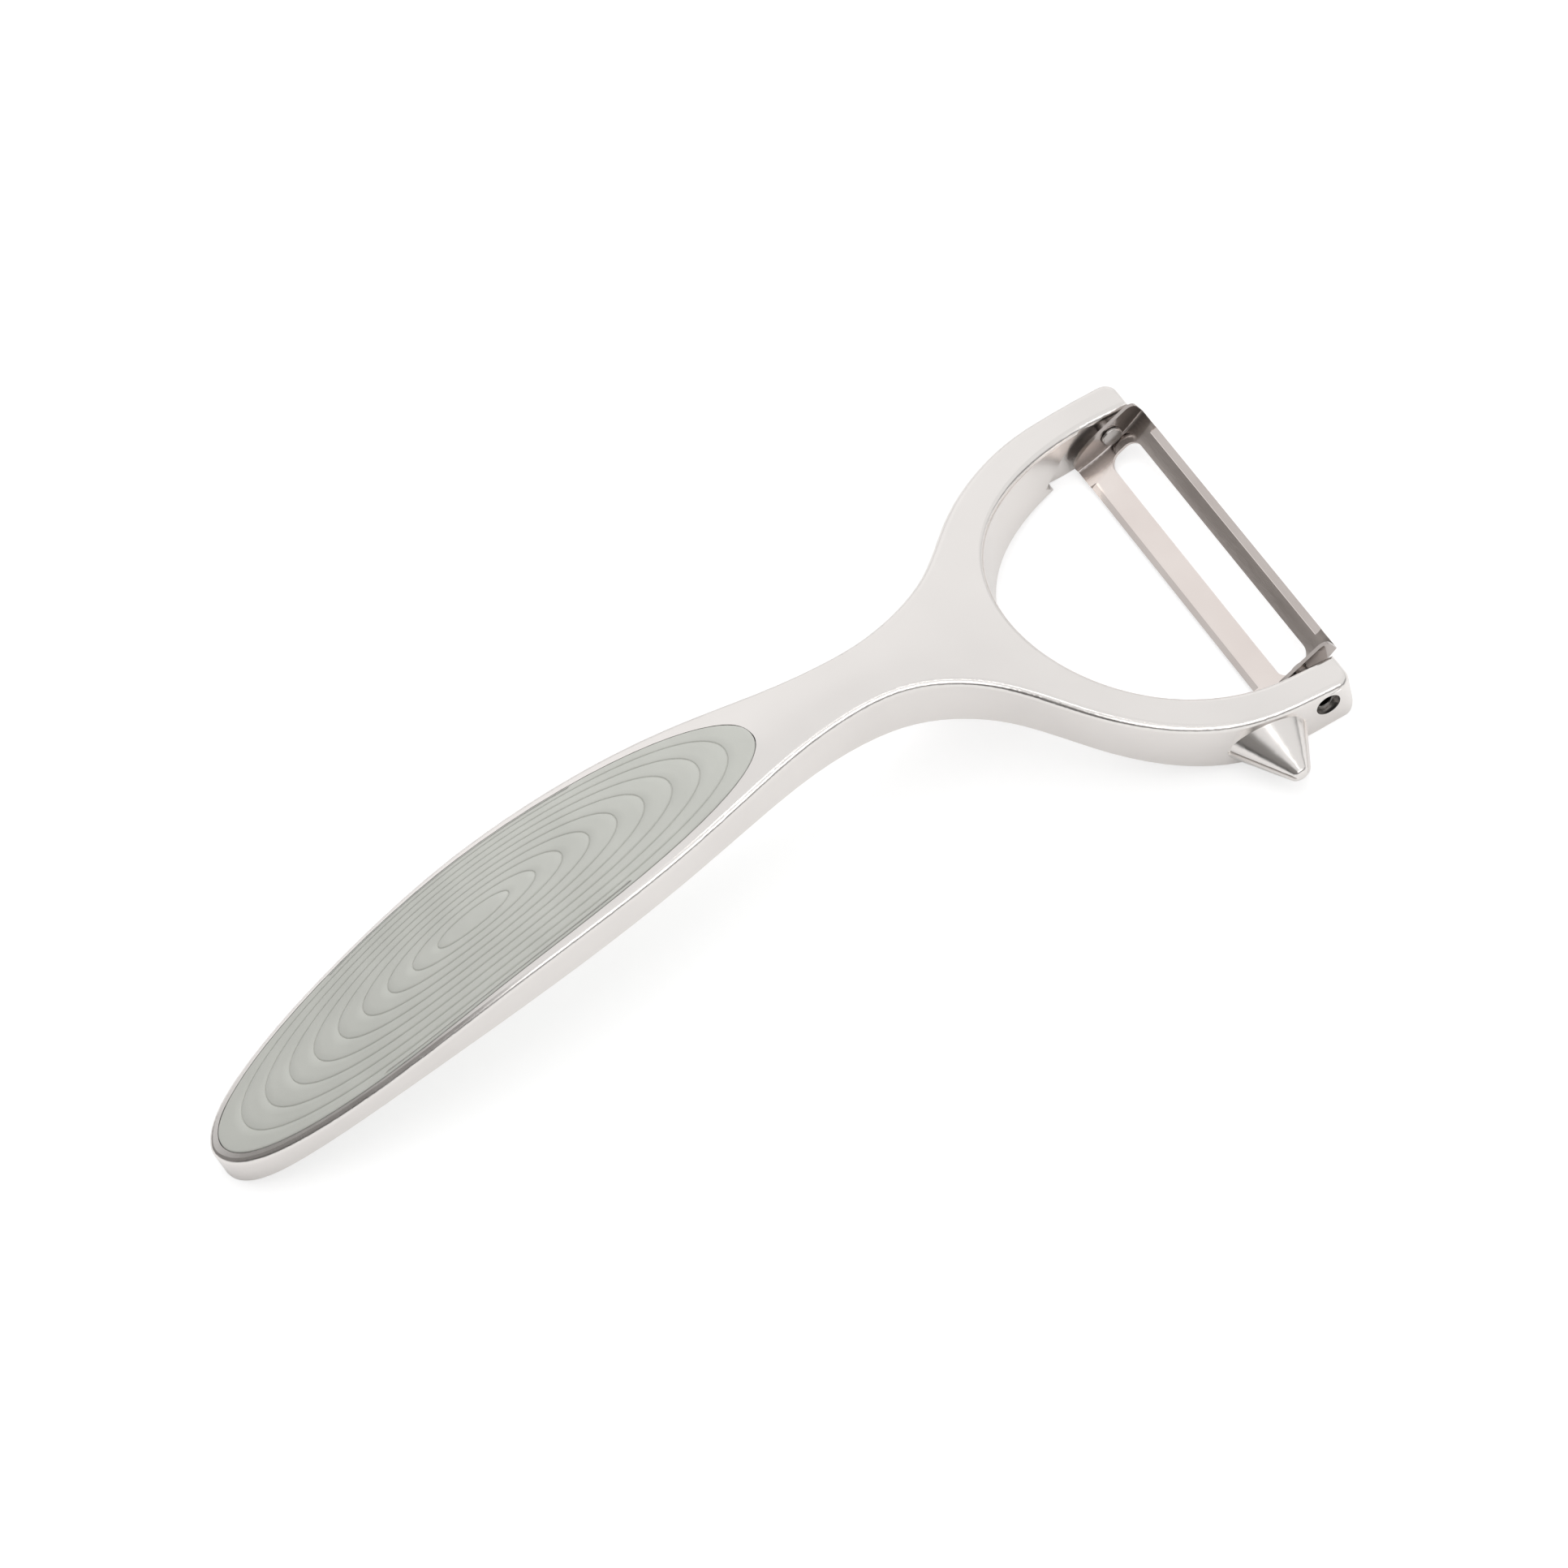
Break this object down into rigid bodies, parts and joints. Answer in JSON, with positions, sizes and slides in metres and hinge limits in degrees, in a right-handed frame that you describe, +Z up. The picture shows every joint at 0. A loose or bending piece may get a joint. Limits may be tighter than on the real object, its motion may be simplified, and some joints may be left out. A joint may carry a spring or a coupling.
{
  "type": "vegetable peeler",
  "caption": "Vegetable peeler: arched cast handle with ringed soft grips, a fork, a swivelling slotted blade between its arms and an eye remover on one arm.",
  "frame": {"origin": "centre of the bounding box's footprint, at table height, with the peeler lying on its arm tips and the end of its handle", "axes": "+X from the handle's end to the blade, +Y towards the left arm (the one without the eye remover), +Z up, out of the front of the handle"},
  "size_m": [0.1806, 0.0766, 0.0265],
  "materials": {
    "cast_body": "satin",
    "soft_grip": "matte",
    "blade_steel": "brushed",
    "rivet_steel": "turned"
  },
  "bodies": {
    "handle": {"frame": "cast_body", "front_grip": "soft_grip", "back_grip": "soft_grip", "left_pivot_rivet": "rivet_steel", "right_pivot_rivet": "rivet_steel"},
    "blade": {"blade": "blade_steel"}
  },
  "joints": [
    {"name": "blade_swivel", "type": "hinge", "parent": "handle", "child": "blade", "pos_m": [0.08402, 0.0037, 0.005], "axis": [0, 1, 0], "range_deg": [-5, 58]}
  ]
}
